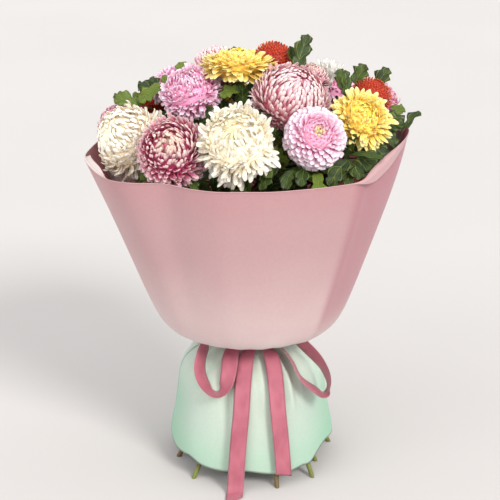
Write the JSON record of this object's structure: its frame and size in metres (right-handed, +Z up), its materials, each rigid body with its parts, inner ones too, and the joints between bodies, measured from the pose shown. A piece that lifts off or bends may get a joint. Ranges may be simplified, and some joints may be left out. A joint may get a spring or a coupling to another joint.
{
  "type": "flower bouquet",
  "caption": "Hand-tied chrysanthemum bouquet in pink and mint wrapping sheets with a satin bow, standing upright on its splayed stem ends.",
  "frame": {"origin": "on the table under the middle of the bouquet, in the plane of the cut stem ends", "axes": "+Z up along the bouquet; the front, with the bow, faces -Y; +X is to the right seen from the front"},
  "size_m": [0.4512, 0.4191, 0.6317],
  "materials": {
    "petals_white": "cream white petals, soft and matt",
    "petals_yellow": "golden yellow petals, soft and matt",
    "petals_rose": "dusty pink petals, paler at their tips",
    "petals_mauve": "dull mauve petals, paler at their tips",
    "petals_lilac": "light pink petals, soft and matt",
    "petals_burgundy": "deep magenta petals with pale tips",
    "petals_red": "brick red petals with orange tips",
    "stem": "green, finely ribbed, pale at the cut end",
    "leaf": "deep green above, greyer below",
    "pink_paper": "soft non-woven wrapping sheet, matt",
    "mint_paper": "soft non-woven wrapping sheet, matt",
    "satin_ribbon": "rose satin, shiny along the folds",
    "twine": "rough natural twine"
  },
  "bodies": {
    "root": {"binding_twine": "twine", "bloom_burgundy_front": "petals_burgundy", "bloom_burgundy_inner": "petals_burgundy", "bloom_lilac_back": "petals_lilac", "bloom_lilac_front": "petals_lilac", "bloom_lilac_inner": "petals_lilac", "bloom_lilac_side": "petals_lilac", "bloom_mauve_back": "petals_mauve", "bloom_mauve_side": "petals_mauve", "bloom_red_back": "petals_red", "bloom_red_inner": "petals_red", "bloom_red_side": "petals_red", "bloom_rose_front": "petals_rose", "bloom_rose_inner": "petals_rose", "bloom_white_back": "petals_white", "bloom_white_front": "petals_white", "bloom_white_inner": "petals_white", "bloom_white_side": "petals_white", "bloom_yellow_back": "petals_yellow", "bloom_yellow_side": "petals_yellow", "bloom_yellow_top": "petals_yellow", "leaf_back_left": "leaf", "leaf_back_right": "leaf", "leaf_back_top": "leaf", "leaf_crown": "leaf", "leaf_front_gap": "leaf", "leaf_left_upper": "leaf", "leaf_right_dark": "leaf", "leaf_right_low": "leaf", "leaf_right_upper": "leaf", "leaf_shoulder_left": "leaf", "mint_skirt": "mint_paper", "ribbon_band": "satin_ribbon", "ribbon_knot": "satin_ribbon", "ribbon_loop_left": "satin_ribbon", "ribbon_loop_right": "satin_ribbon", "ribbon_tail_left": "satin_ribbon", "ribbon_tail_right": "satin_ribbon", "stem_burgundy_front": "stem", "stem_burgundy_inner": "stem", "stem_lilac_back": "stem", "stem_lilac_front": "stem", "stem_lilac_inner": "stem", "stem_lilac_side": "stem", "stem_mauve_back": "stem", "stem_mauve_side": "stem", "stem_red_back": "stem", "stem_red_inner": "stem", "stem_red_side": "stem", "stem_rose_front": "stem", "stem_rose_inner": "stem", "stem_white_back": "stem", "stem_white_front": "stem", "stem_white_inner": "stem", "stem_white_side": "stem", "stem_yellow_back": "stem", "stem_yellow_side": "stem", "stem_yellow_top": "stem", "wrap_back_sheet": "pink_paper", "wrap_front_sheet": "pink_paper"}
  },
  "joints": []
}
